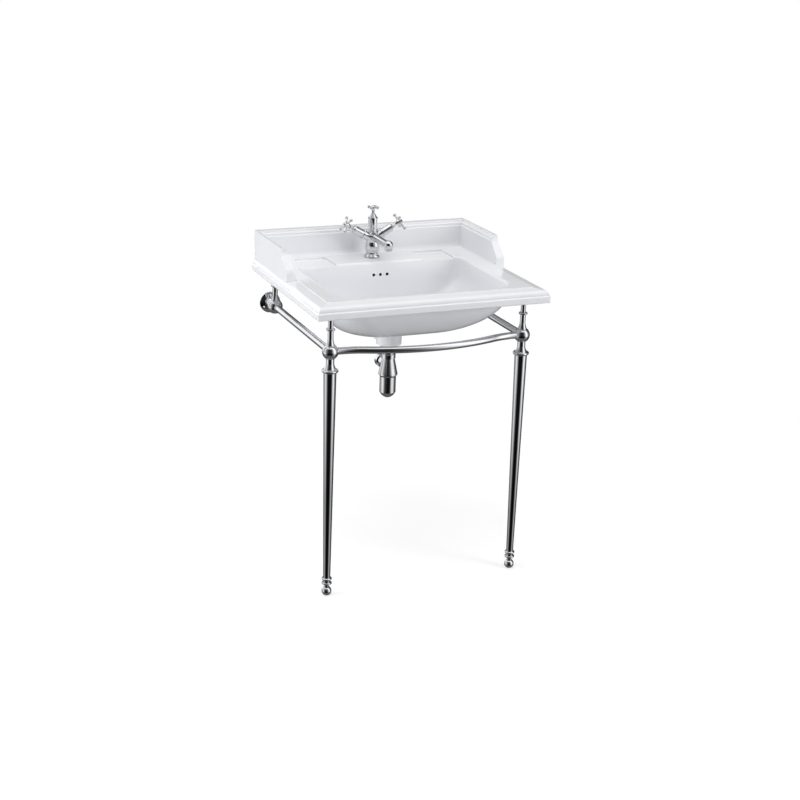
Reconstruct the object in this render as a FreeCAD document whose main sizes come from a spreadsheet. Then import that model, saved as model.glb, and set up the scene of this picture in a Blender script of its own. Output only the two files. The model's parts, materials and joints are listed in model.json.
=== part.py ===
"""Console sink: a ceramic basin on a chromed stand, with a deck tap, pop-up waste and bottle trap.

Millimetres, +Z up, +Y towards the wall. The origin is on the floor, under the middle of the basin.
"""
import FreeCAD, Part
import math
import os
import Sketcher

Vector = FreeCAD.Vector
SIDES = (("left", -1), ("right", 1))
ARMS = (("hot", -1), ("cold", 1))
SCREWS = 3

# How far a cutting tool or a search runs past a face, and how near counts as touching
OVERRUN = 1.0
NEAR = 1e-4

SIZES = {
    # Basin: outline, edge moulding and upstand
    "width": 656, "depth": 560, "rim_height": 823, "slab_edge": 38, "band_height": 18.5,
    "band_round": 3.5, "band_ledge": 4, "ledge_rise": 1, "ovolo_run": 33, "ovolo_fall": 5,
    "ovolo_round": 11, "rim_step": 1.5, "rim_soft": 0.5, "plan_corner": 6, "upstand_height": 76,
    "upstand_inset": 8, "cap_width": 20, "cap_drop": 6, "lip_reach": 29, "lip_drop": 14, "inner_reach": 33,
    "foot_reach": 36, "foot_cove": 14, "return_top_reach": 237, "return_neck_reach": 240,
    "return_neck_drop": 15, "return_shoulder_reach": 282, "return_shoulder_drop": 51,
    "return_foot_reach": 288, "return_round": 22, "return_thin": 12, "return_cove": 6,
    "cap_round": 2, "step_round": 1, "lip_round": 3,
    # Basin: bowl, trays, holes and the duct from the overflow to the waste
    "rim_flat": 45, "return_foot": "=foot_reach - return_thin + return_cove",
    "side_rim": "=upstand_inset + return_foot + rim_flat", "front_rim": 55,
    "bowl_width": "=width - 2 * side_rim", "bowl_back": 152,
    "bowl_front": "=depth - front_rim", "bowl_length": "=bowl_front - bowl_back",
    "bowl_back_corner": 20, "bowl_front_corner": 62, "bowl_lip_round": 9, "bowl_depth": 155,
    "bowl_curve_height": 122, "bowl_draft": 8, "bowl_floor_share": 0.92, "side_curve_share": 0.404,
    "back_curve_share": 0.102, "front_curve_share": 0.694,
    "bowl_side_curve": "=bowl_width * side_curve_share",
    "bowl_back_curve": "=bowl_length * back_curve_share",
    "bowl_front_curve": "=bowl_length * front_curve_share", "bowl_wall": 11, "tray_inner": 130,
    "tray_margin": 19, "tray_outer": "=bowl_width / 2 - tray_margin", "tray_back": 60,
    "tray_deep": 7, "tray_corner": 12, "tray_round": 5, "deck_thickness": 18,
    "pocket_half_width": 170, "pocket_back": 20, "pocket_front": 120, "bolt_spacing": 280,
    "bolt_radius": 6, "bolt_drop": 26, "overflow_radius": 4.5, "overflow_spacing": 20,
    "overflow_drop": 36, "duct_half_width": 26, "duct_gap": 12, "duct_wall": 8,
    "duct_bend_drop": 112, "duct_end_drop": 186, "waste_ahead": 80,
    "waste_reach": "=bowl_back + waste_ahead", "boss_radius": 35.5,
    "boss_drop": 215, "waste_hole_radius": 20, "recess_radius": 32, "recess_depth": 3.5,
    # Stand
    "post_inset": 53.5, "post_spacing": "=width - 2 * post_inset", "front_inset": 54,
    "post_reach": "=depth - front_inset", "rear_reach": 48, "rail_height": 687,
    "ball_radius": 21.5, "rail_radius": 9.5, "rail_wall": 1.5, "rail_stop": 12, "rail_bow": 43,
    "rail_straight": 25, "rail_bend": 200, "seat_gap": 0.1, "end_gap": 0.5, "edge_break": 1,
    "stud_radius": 5, "stud_floor": 11, "collar_drop": 51, "collar_height": 8, "collar_radius": 22,
    "collar_bulge": 2.7, "bell_radius": 16.5, "bell_rise": 9, "bell_cove": 32, "neck_radius": 10.75,
    "leg_top_radius": 17, "leg_bottom_radius": 9.75, "leg_wall": 2, "leg_spigot": 20,
    "spigot_gap": 0.3, "foot_top": 52, "foot_ring_radius": 14, "foot_ring_height": 6,
    "foot_ring_bulge": 2.5, "foot_waist_radius": 9.5, "lower_ring": 35, "upper_ring": 48,
    "ferrule_low": 31, "foot_ball_radius": 13.5, "foot_flat_radius": 6, "foot_neck_radius": 6.5,
    "foot_stud_radius": 4, "foot_stud_length": 18, "flare_radius": 12.5, "flare_height": 22,
    "flare_cove": 40, "stem_radius": 7.5, "stem_top_radius": 7, "post_ring_rise": 60,
    "post_ring_radius": 12, "post_ring_height": 6, "post_ring_bulge": 2.4, "pad_thickness": 2,
    "rose_radius": 30, "rose_edge": 3, "rose_rise": 9, "rose_dome": 34, "rose_neck_radius": 12.5,
    "rose_neck_rise": 15, "screw_circle": 44, "screw_radius": 2.6,
    # Tap
    "tap_reach": 89, "tap_hole_radius": 18, "gasket_thickness": 1, "gasket_radius": 21.5,
    "ring_radius": 22.5, "ring_height": 7, "ring_edge": 2.5, "ring_dome": 8.4, "shank_radius": 17,
    "shank_gap": 0.3, "shank_drop": 64, "shank_spigot_radius": 11, "shank_spigot": 9,
    "rod_way_radius": 3.8, "inlet_offset": 10.6, "inlet_radius": 5, "inlet_length": 15,
    "washer_thickness": 2.5, "washer_radius": 24, "backnut_height": 10, "backnut_radius": 25,
    "collar_foot_radius": 18.5, "collar_foot": 2.5, "waist_radius": 16,
    "vase_radius": 20, "vase_rise": 28, "vase_bulge": 34, "root_radius": 17,
    "root_rise": 44, "hub_bulge": 24, "hub_top_radius": 13, "hub_top_rise": 70, "hub_rise": 74,
    "column_spigot": 6, "arm_rise": 51, "arm_tilt": 29, "arm_radius": 12, "arm_length": 30,
    "spout_rise": 60, "spout_boss_radius": 12.5, "spout_boss_length": 25, "spout_root_radius": 11.5,
    "spout_end_radius": 9.5, "spout_length": 121, "elbow_radius": 13, "nozzle_radius": 10.5,
    "nozzle_drop": 16, "spout_bore": 6, "aerator_radius": 8.5, "aerator_height": 8,
    "aerator_bore": 4, "column_foot_radius": 14.5, "column_foot_height": 5, "column_radius": 12.5,
    "column_bore": 10, "column_height": 36, "cap_radius": 13.5, "cap_rim": 3, "cap_shoulder": 2,
    "roof_rise": 51, "roof_radius": 4.8, "guide_gap": 0.08, "cartridge_radius": 6,
    "cartridge_start": 16, "cartridge_end": 56, "bonnet_ring_radius": 14.2, "bonnet_ring": 4,
    "bonnet_radius": 11.5, "bonnet_end": 64, "bonnet_neck_radius": 6.5, "bonnet_top": 70,
    "bonnet_tip": 2, "spindle_radius": 3, "spindle_gap": 0.05, "spindle_start": 36,
    "spindle_pass": 0.5, "handle_gap": 0.8, "handle_centre": 93, "handle_foot_radius": 5.5,
    "handle_waist_radius": 4.6, "handle_waist": 78, "handle_hub_radius": 8.6,
    "handle_hub_half": 6, "spoke_radius": 2.9, "spoke_length": 25, "spoke_ball_radius": 4.7,
    "cap_seat_radius": 5, "cap_seat": 2, "handle_cap_rise": 3,
    # Pop-up waste
    "lift_rod_radius": 3, "lift_rod_low": 128, "knob_clear": 2, "knob_foot_radius": 4.6,
    "knob_waist_radius": 4, "knob_waist_rise": 6, "knob_hub_radius": 6, "knob_hub_rise": 12,
    "knob_height": 20, "knob_rod_depth": 13, "knob_crown": 3, "lobe_radius": 4.4, "lobe_reach": 13,
    "lobe_drop": 5.1, "lobe_neck_radius": 2.7, "strap_head": 14, "strap_head_height": 16,
    "strap_width": 13, "strap_thickness": 3, "strap_hole_radius": 4.5, "strap_tail": 9,
    "strap_hole_step": 16, "strap_spare_holes": 4, "screw_shaft_radius": 2.5,
    "screw_head_radius": 6, "screw_head_height": 5, "pivot_rod_radius": 2.5, "pivot_back": 26,
    "pivot_drop": 233, "pivot_height": "=rim_height - pivot_drop", "pivot_ball_radius": 6,
    "rod_overhang": 14, "rod_inner_end": 6,
    "rest_tilt": 4, "swing": 16, "port_radius": 9.8, "port_length": 30, "port_bore": 8,
    "port_seat": 6.5, "port_seat_radius": 6.4, "pivot_nut_radius": 12, "pivot_nut_start": 24,
    "pivot_nut_lip": 2.5, "pivot_nut_hole": 5.4, "flange_radius": 31, "flange_height": 3,
    "seal_thickness": 1.5, "seat_top_radius": 18, "seat_depth": 8, "waste_bore": 13,
    "waste_radius": 18, "tail_radius": 16, "slot_drop": 36, "slot_height": 12, "slot_width": 14,
    "waste_washer_radius": 23.5, "waste_washer_thickness": 2, "waste_nut_radius": 23,
    "waste_nut_height": 6, "plug_radius": 20, "plug_edge": 2, "plug_dome": 1.8, "plug_gap": 0.5,
    "plug_stem_radius": 4.5, "plug_seal_depth": 5, "plug_core_radius": 12, "eye_radius": 3.5,
    "eye_width": 15, "eye_thickness": 2.5, "eye_rise": 9,
    # Bottle trap
    "trap_neck_radius": 17, "trap_neck_height": 8.5, "trap_drop": 257.5,
    "trap_top": "=rim_height - trap_drop", "trap_socket_depth": 17,
    "cone_top_radius": 17.5, "cone_radius": 27, "cone_height": 45, "cone_edge": 3,
    "cone_chamfer": 4.5, "trap_wall": 2.5, "chamber_drop": 10, "trap_thread_radius": 20.5,
    "dip_radius": 14, "dip_length": 92, "inlet_nut_radius": 20, "nut_wall_height": 13.5,
    "nut_lip": 3, "cup_radius": 23, "cup_height": 46, "cup_round": 30, "cup_bottom": 16,
    "cup_base_radius": 7.7, "cup_thread": 11, "cup_seal_thickness": 1,
    "outlet_drop": 279, "outlet_rise": "=rim_height - outlet_drop",
    "outlet_radius": 17, "outlet_bore": 12, "outlet_length": 52, "outlet_socket": 26,
    "pipe_radius": 16.2, "outlet_nut_length": 17, "outlet_lip": 3, "outlet_seal_thickness": 2,
}

doc = FreeCAD.newDocument("console_sink")
sheet = doc.addObject("Spreadsheet::Sheet", "Sizes")
for row, (name, value) in enumerate(SIZES.items(), 1):
    sheet.set(f"A{row}", name)
    sheet.set(f"B{row}", str(value))
    sheet.setAlias(f"B{row}", name)
doc.recompute()


class Size:
    """A size from the sheet, or worked out from some: its value and the expression that keeps it bound."""

    def __init__(self, value, text):
        self.value = float(value)
        self.text = text

    def joined(self, sign, other, value):
        return Size(value, f"({self.text} {sign} {as_size(other).text})")

    def __add__(self, other):
        return self.joined("+", other, self.value + as_size(other).value)

    def __sub__(self, other):
        return self.joined("-", other, self.value - as_size(other).value)

    def __mul__(self, other):
        return self.joined("*", other, self.value * as_size(other).value)

    def __truediv__(self, other):
        return self.joined("/", other, self.value / as_size(other).value)

    def __neg__(self):
        return self * -1


class Sheet:
    """Reads a size by its name, as in size.rail_radius."""

    def __getattr__(self, name):
        return Size(sheet.get(name), f"Sizes.{name}")


def as_size(value):
    return value if isinstance(value, Size) else Size(value, repr(float(value)))


def root(value):
    return Size(math.sqrt(value.value), f"sqrt({value.text})")


def sine(angle):
    return Size(math.sin(math.radians(angle.value)), f"sin({angle.text})")


def cosine(angle):
    return Size(math.cos(math.radians(angle.value)), f"cos({angle.text})")


def tangent(angle):
    return Size(math.tan(math.radians(angle.value)), f"tan({angle.text})")


def leg_of(long_side, other_side):
    """The third side of a right triangle."""
    return root(long_side * long_side - other_side * other_side)


def bulge_radius(half, bulge):
    """The radius of an arc that rises by bulge over a chord of twice half."""
    return (half * half + bulge * bulge) / (bulge * 2)


def ring(root_radius, low, high, bulge):
    """Two corners of a rounded ring on a turned outline."""
    return [(root_radius, low), (root_radius, high, bulge_radius((high - low) / 2, bulge))]


size = Sheet()
nodes = []

wall = size.depth / 2
post_x = size.post_spacing / 2
post_y = wall - size.post_reach
rear_y = wall - size.rear_reach
tap_y = wall - size.tap_reach
waste_y = wall - size.waste_reach
pivot_y = waste_y + size.pivot_back
slab_under = size.rim_height - size.slab_edge
boss_under = size.rim_height - size.boss_drop
upper_flat = leg_of(size.ball_radius, size.flare_radius)
lower_flat = leg_of(size.ball_radius, size.neck_radius)
leg_top = size.rail_height - size.collar_drop - size.collar_height / 2
body_foot = size.gasket_thickness + size.ring_height


def placed(part, x=0, y=0, z=0, axis=(0, 0, 1), angle=0):
    """Bind the place of a piece, and its turn about one axis, to the sheet."""
    spot = "; ".join(as_size(value).text for value in (x, y, z))
    way = "; ".join(str(value) for value in axis)
    turn = f"rotation(vector({way}); {as_size(angle).text})"
    part.setExpression("Placement", f"placement(vector({spot}); {turn})")
    return part


def keep(part):
    """Hand the piece in as a node of its own."""
    nodes.append(part)
    return part


def origin_plane(body, role):
    return [plane for plane in body.Origin.OriginFeatures if plane.Role == role][0]


def drawn(body, name, role, corners, closed=True):
    """A sketch through (across, up) corners; a third value is the radius of the arc that ends there."""
    sketch = body.newObject("Sketcher::SketchObject", name)
    sketch.AttachmentSupport = [(origin_plane(body, role), "")]
    sketch.MapMode = "FlatFace"
    count = len(corners)
    stretches = count if closed else count - 1
    points = [Vector(as_size(corner[0]).value, as_size(corner[1]).value, 0) for corner in corners]
    shapes, starts, ends, radii = [], [], [], []
    for index in range(stretches):
        begin, finish = points[index], points[(index + 1) % count]
        corner = corners[(index + 1) % count]
        if len(corner) == 2:
            shapes.append(Part.LineSegment(begin, finish))
            starts.append((index, 1))
            ends.append((index, 2))
            continue
        radius = as_size(corner[2])
        chord = finish - begin
        across = Vector(chord.y, -chord.x, 0).normalize() * math.copysign(1, radius.value)
        reach = abs(radius.value)
        rise = reach - math.sqrt(reach * reach - chord.Length ** 2 / 4)
        middle = (begin + finish) * 0.5 + across * rise
        left_turn = radius.value > 0
        shapes.append(Part.Arc(begin, middle, finish) if left_turn else Part.Arc(finish, middle, begin))
        starts.append((index, 1 if left_turn else 2))
        ends.append((index, 2 if left_turn else 1))
        radii.append((index, radius if left_turn else -radius))
    sketch.addGeometry(shapes, False)
    rules, bound = [], []
    for index in range(stretches if closed else stretches - 1):
        rules.append(Sketcher.Constraint("Coincident", *ends[index], *starts[(index + 1) % stretches]))
    anchors = starts if closed else starts + [ends[-1]]
    for anchor, corner in zip(anchors, corners):
        for kind, axis, value in (("DistanceX", -2, as_size(corner[0])),
                                  ("DistanceY", -1, as_size(corner[1]))):
            if abs(value.value) < NEAR:
                rules.append(Sketcher.Constraint("PointOnObject", *anchor, axis))
                continue
            pair = (-1, 1, *anchor) if value.value > 0 else (*anchor, -1, 1)
            bound.append((len(rules), value if value.value > 0 else -value))
            rules.append(Sketcher.Constraint(kind, *pair, abs(value.value)))
    for index, radius in radii:
        bound.append((len(rules), radius))
        rules.append(Sketcher.Constraint("Radius", index, radius.value))
    sketch.addConstraint(rules)
    for index, value in bound:
        sketch.setExpression(f"Constraints[{index}]", value.text)
    return sketch


def turned(label, outline, **place):
    """A body turned about its own upright axis; the outline runs out at the foot, up, and in at the top."""
    body = doc.addObject("PartDesign::Body", label)
    sketch = drawn(body, label + "_outline", "XZ_Plane", outline)
    turn = body.newObject("PartDesign::Revolution", label + "_turn")
    turn.Profile = sketch
    turn.ReferenceAxis = (sketch, ["V_Axis"])
    turn.Angle = 360
    return placed(body, **place)


def rod(label, radius, length, **place):
    part = doc.addObject("Part::Cylinder", label)
    part.setExpression("Radius", as_size(radius).text)
    part.setExpression("Height", as_size(length).text)
    return placed(part, **place)


def block(label, x_size, y_size, z_size, x=0, y=0, z=0):
    """A box that stands on z, centred on x and y."""
    part = doc.addObject("Part::Box", label)
    for side, value in (("Length", x_size), ("Width", y_size), ("Height", z_size)):
        part.setExpression(side, as_size(value).text)
    return placed(part, x=as_size(x) - as_size(x_size) / 2, y=as_size(y) - as_size(y_size) / 2, z=z)


def hexagon(label, corner_radius, height, **place):
    part = doc.addObject("Part::Prism", label)
    part.Polygon = 6
    part.setExpression("Circumradius", as_size(corner_radius).text)
    part.setExpression("Height", as_size(height).text)
    return placed(part, **place)


def fused(label, pieces):
    part = doc.addObject("Part::MultiFuse", label)
    part.Shapes = pieces
    part.Refine = True
    return part


def bored(label, base, tools):
    part = doc.addObject("Part::Cut", label)
    part.Base = base
    part.Tool = tools[0] if len(tools) == 1 else fused(label + "_bores", tools)
    part.Refine = True
    return part


def group(label, pieces):
    """Identical pieces that share a node, each a solid of its own."""
    part = doc.addObject("Part::Compound", label)
    part.Links = pieces
    return keep(part)


def rounded_wire(corners, to_space):
    """A closed wire through (across, along, corner radius) corners, laid in space by to_space."""
    stops = []
    for index, (across, along, radius) in enumerate(corners):
        here = Vector(across, along, 0)
        to_before = (Vector(*corners[index - 1][:2], 0) - here).normalize()
        to_after = (Vector(*corners[(index + 1) % len(corners)][:2], 0) - here).normalize()
        half = to_before.getAngle(to_after) / 2
        reach = radius / math.tan(half)
        middle = here + (to_before + to_after).normalize() * (radius / math.sin(half) - radius)
        stops.append((here + to_before * reach, middle, here + to_after * reach, radius))
    edges = []
    for index, (begin, middle, finish, radius) in enumerate(stops):
        following = stops[(index + 1) % len(stops)][0]
        flat = (begin, middle, finish, following)
        begin, middle, finish, following = (to_space(point.x, point.y) for point in flat)
        if radius > 0:
            edges.append(Part.Arc(begin, middle, finish).toShape())
        edges.append(Part.LineSegment(finish, following).toShape())
    return Part.Wire(edges)


def prism(corners, to_space, way):
    return Part.Face(rounded_wire(corners, to_space)).extrude(way)


class Basin:
    """The ceramic: a moulded slab with a U-shaped upstand, a bowl under it, and the holes for fittings."""

    def __init__(self):
        for name in SIZES:
            setattr(self, name, sheet.get(name))
        self.half = self.width / 2
        self.back = self.depth / 2
        self.under = self.rim_height - self.slab_edge
        self.top = self.rim_height + self.upstand_height
        self.floor = self.rim_height - self.bowl_depth

    def across(self, x, z):
        """A section that is drawn out along Y, from the front edge."""
        return Vector(x, -self.back, z)

    def along(self, reach, z):
        """A section that is drawn out along X, at a reach from the wall."""
        return Vector(-self.half, self.back - reach, z)

    def edge_moulding(self):
        """Corners of the slab's edge as (offset from the edge, height, corner radius), from below."""
        ledge = self.under + self.band_height + self.ledge_rise
        rim_start = self.band_ledge + self.ovolo_run
        low_rim = self.rim_height - self.rim_step
        soft = self.rim_soft
        return [(0, self.under, self.band_round), (0, self.under + self.band_height, self.band_round),
                (self.band_ledge, ledge, soft), (self.band_ledge, low_rim - self.ovolo_fall, self.ovolo_round),
                (rim_start, low_rim, soft), (rim_start + soft, self.rim_height, soft)]

    def slab(self):
        moulding = self.edge_moulding()
        left = [(offset - self.half, z, radius) for offset, z, radius in moulding]
        right = [(-x, z, radius) for x, z, radius in reversed(left)]
        sideways = prism(left + right, self.across, Vector(0, self.depth, 0))
        front = [(self.depth - offset, z, radius) for offset, z, radius in reversed(moulding)]
        rear = [(0, self.under, 0), (0, self.rim_height, 0)]
        lengthways = prism(rear + front, self.along, Vector(self.width, 0, 0))
        plan = [(-self.half, 0, 0), (self.half, 0, 0),
                (self.half, self.depth, self.plan_corner), (-self.half, self.depth, self.plan_corner)]
        outline = prism(plan, lambda x, reach: Vector(x, self.back - reach, self.under),
                        Vector(0, 0, self.slab_edge))
        return sideways.common(lengthways).common(outline)

    def upstand_inside(self):
        """Corners of the upstand's inner side as (reach from its back, height, radius), from below.

        The returns take the same corners, return_thin thinner.
        """
        above = self.top + self.upstand_height
        return [(self.foot_reach, self.rim_height, self.foot_cove),
                (self.inner_reach, self.top - self.lip_drop, self.cap_round),
                (self.lip_reach, self.top - self.lip_drop, self.step_round),
                (self.lip_reach, self.top - self.cap_drop, self.lip_round),
                (self.cap_width, self.top - self.cap_drop, self.step_round),
                (self.cap_width, self.top, self.cap_round), (-self.cap_width, self.top, 0),
                (-self.cap_width, above, 0)]

    def upstand(self):
        ledge = self.under + self.band_height
        reach = self.half - self.upstand_inset
        side = [(0, ledge, 0), (0, self.top, 0), (self.return_top_reach, self.top, self.cap_round),
                (self.return_neck_reach, self.top - self.return_neck_drop, self.return_round),
                (self.return_shoulder_reach, self.top - self.return_shoulder_drop, self.return_round),
                (self.return_foot_reach, ledge, 0)]
        outside = prism(side, lambda d, z: Vector(-reach, self.back - d, z), Vector(2 * reach, 0, 0))
        inside = self.upstand_inside()
        left = [(t - self.return_thin - reach, z, radius) for t, z, radius in inside]
        left[0] = (*left[0][:2], self.return_cove)
        right = [(-x, z, radius) for x, z, radius in reversed(left)]
        between = prism(left + right, self.across, Vector(0, self.depth, 0))
        front = [(self.depth, inside[-1][1], 0), (self.depth, self.rim_height, 0)]
        before = prism(inside + front, self.along, Vector(self.width, 0, 0))
        return outside.cut(between.common(before))

    def bowl_section(self, z, side, back, front, depth_share, grow):
        half = self.bowl_width / 2 - side
        near = self.bowl_back + back
        far = self.bowl_front - front
        roundest = self.bowl_floor_share * min(half, (far - near) / 2)
        rear = self.bowl_back_corner + (roundest - self.bowl_back_corner) * depth_share + grow
        fore = self.bowl_front_corner + (roundest - self.bowl_front_corner) * math.sqrt(depth_share) + grow
        plan = [(-half - grow, near - grow, rear), (half + grow, near - grow, rear),
                (half + grow, far + grow, fore), (-half - grow, far + grow, fore)]
        return rounded_wire(plan, lambda x, reach: Vector(x, self.back - reach, z))

    def bowl(self, top, grow, steps=7):
        """The bowl's space for grow 0, or its outer skin: drafted sides, then quarter ellipses down."""
        turn = self.floor + self.bowl_curve_height
        slope = math.tan(math.radians(self.bowl_draft))
        wires = []
        for z in (top, (top + turn) / 2):
            inset = (self.rim_height - z) * slope
            wires.append(self.bowl_section(z, inset, inset, inset, 0, grow))
        inset = (self.rim_height - turn) * slope
        for step in range(steps + 1):
            angle = math.pi / 2 * step / steps
            draw_in = 1 - math.cos(angle)
            z = turn - (self.bowl_curve_height + grow) * math.sin(angle)
            wires.append(self.bowl_section(z, inset + self.bowl_side_curve * draw_in,
                                           inset + self.bowl_back_curve * draw_in,
                                           inset + self.bowl_front_curve * draw_in, draw_in, grow))
        return Part.makeLoft(wires, True, False)

    def duct(self, grow):
        """The way from the overflow holes down to the waste hole; grow adds the wall round it."""
        back = self.bowl_back - self.duct_gap - self.duct_wall
        mouth = self.rim_height - self.overflow_drop + 2 * self.overflow_radius
        bend = self.rim_height - self.duct_bend_drop
        end = self.rim_height - self.duct_end_drop
        hole = self.waste_reach - self.waste_hole_radius
        side = [(back - grow, mouth + grow, 0), (back + self.duct_gap + grow, mouth + grow, 0),
                (back + self.duct_gap + grow, bend + grow, 0), (hole + grow, end + grow, 0),
                (hole + grow, end - self.duct_gap - grow, 0),
                (hole - self.duct_gap, end - self.duct_gap - grow, 0),
                (back - grow, bend - grow, 0)]
        half = self.duct_half_width + grow
        return prism(side, lambda d, z: Vector(-half, self.back - d, z), Vector(2 * half, 0, 0))

    def upright(self, radius, low, high, x, reach):
        return Part.makeCylinder(radius, high - low, Vector(x, self.back - reach, low))

    def tray(self, side):
        """A shallow soap tray beside the tap that drains over the bowl's edge."""
        inner, outer = sorted((side * self.tray_inner, side * self.tray_outer))
        reach = self.bowl_back + self.bowl_back_corner
        plan = [(inner, self.tray_back, self.tray_corner), (outer, self.tray_back, self.tray_corner),
                (outer, reach, 0), (inner, reach, 0)]
        low = self.rim_height - self.tray_deep
        shape = prism(plan, lambda x, d: Vector(x, self.back - d, low), Vector(0, 0, 2 * self.tray_deep))
        floor_edges = [edge for edge in shape.Edges
                       if edge.BoundBox.ZMax < low + NEAR and edge.BoundBox.YMin > self.back - reach + NEAR]
        return shape.makeFillet(self.tray_round, floor_edges)

    def mouth_edges(self, shape):
        """The edges where the bowl meets the flat rim."""
        half = self.bowl_width / 2 + OVERRUN
        front = self.back - self.bowl_front - OVERRUN
        found = []
        for edge in shape.Edges:
            box = edge.BoundBox
            level = abs(box.ZMin - self.rim_height) < NEAR and abs(box.ZMax - self.rim_height) < NEAR
            inside = box.XMin > -half and box.XMax < half and box.YMin > front
            if level and inside and box.YMax < self.back - self.bowl_back + OVERRUN:
                found.append(edge)
        return found

    def shape(self):
        boss_low = self.rim_height - self.boss_drop
        solid = self.slab().fuse(self.upstand())
        solid = solid.fuse(self.bowl(self.under + self.band_height, self.bowl_wall))
        solid = solid.fuse(self.upright(self.boss_radius, boss_low, self.floor - self.edge_break, 0,
                                        self.waste_reach))
        solid = solid.fuse(self.duct(self.duct_wall))
        solid = solid.cut(self.bowl(self.rim_height, 0)).removeSplitter()
        solid = solid.makeFillet(self.bowl_lip_round, self.mouth_edges(solid))
        for side in (-1, 1):
            solid = solid.cut(self.tray(side))
        pocket = [(-self.pocket_half_width, self.pocket_back, self.tray_corner),
                  (self.pocket_half_width, self.pocket_back, self.tray_corner),
                  (self.pocket_half_width, self.pocket_front, self.tray_corner),
                  (-self.pocket_half_width, self.pocket_front, self.tray_corner)]
        pocket_height = self.slab_edge - self.deck_thickness
        solid = solid.cut(prism(pocket, lambda x, d: Vector(x, self.back - d, self.under),
                                Vector(0, 0, pocket_height)))
        solid = solid.cut(self.upright(self.tap_hole_radius, self.under, self.top, 0, self.tap_reach))
        for side in (-1, 1):
            place = Vector(side * self.bolt_spacing / 2, self.back - self.pocket_back - OVERRUN,
                           self.rim_height - self.bolt_drop)
            length = self.pocket_back + 2 * OVERRUN
            solid = solid.cut(Part.makeCylinder(self.bolt_radius, length, place, Vector(0, 1, 0)))
        solid = solid.cut(self.duct(0))
        for number in (-1, 0, 1):
            start = Vector(number * self.overflow_spacing,
                           self.back - self.bowl_back - self.bowl_back_corner,
                           self.rim_height - self.overflow_drop)
            length = self.bowl_back_corner + self.duct_wall + self.duct_gap / 2
            solid = solid.cut(Part.makeCylinder(self.overflow_radius, length, start, Vector(0, 1, 0)))
        solid = solid.cut(self.upright(self.waste_hole_radius, boss_low - OVERRUN, self.rim_height,
                                       0, self.waste_reach))
        seat = self.floor - self.recess_depth
        return solid.cut(self.upright(self.recess_radius, seat, self.rim_height, 0, self.waste_reach))


def make_basin():
    basin = doc.addObject("Part::Feature", "basin")
    basin.Shape = Basin().shape()
    keep(basin)


def stud_ball(label, x, y, sockets):
    """A ball joint of the stand, with stud holes above and below and sockets for the rails."""
    hole = size.stud_radius + size.seat_gap
    turned_ball = turned(label + "_ball", [
        (0, -size.stud_floor), (hole, -size.stud_floor), (hole, -lower_flat),
        (size.neck_radius, -lower_flat),
        (size.flare_radius, upper_flat, size.ball_radius), (hole, upper_flat), (hole, size.stud_floor),
        (0, size.stud_floor)], x=x, y=y, z=size.rail_height)
    tools = []
    for number, (way_x, way_y) in enumerate(sockets):
        tools.append(rod(f"{label}_socket_{number}", size.rail_radius + size.seat_gap, size.ball_radius,
                         x=x + size.rail_stop * way_x, y=y + size.rail_stop * way_y, z=size.rail_height,
                         axis=(-way_y, way_x, 0), angle=90))
    keep(bored(label, turned_ball, tools))


def support_post(label, x, y):
    """A post that carries the slab from the ball below it."""
    top = slab_under - size.pad_thickness - size.rail_height
    half = size.post_ring_height / 2
    ring_root = size.post_ring_radius - size.post_ring_bulge
    stud_low = size.stud_floor + size.end_gap
    keep(turned(label, [
        (0, stud_low), (size.stud_radius, stud_low), (size.stud_radius, upper_flat),
        (size.flare_radius, upper_flat),
        (size.stem_radius, upper_flat + size.flare_height, -size.flare_cove),
        (size.stem_radius, size.post_ring_rise - half),
        *ring(ring_root, size.post_ring_rise - half, size.post_ring_rise + half, size.post_ring_bulge),
        (size.stem_top_radius, size.post_ring_rise + half), (size.stem_top_radius, top), (0, top)],
        x=x, y=y, z=size.rail_height))


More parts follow.
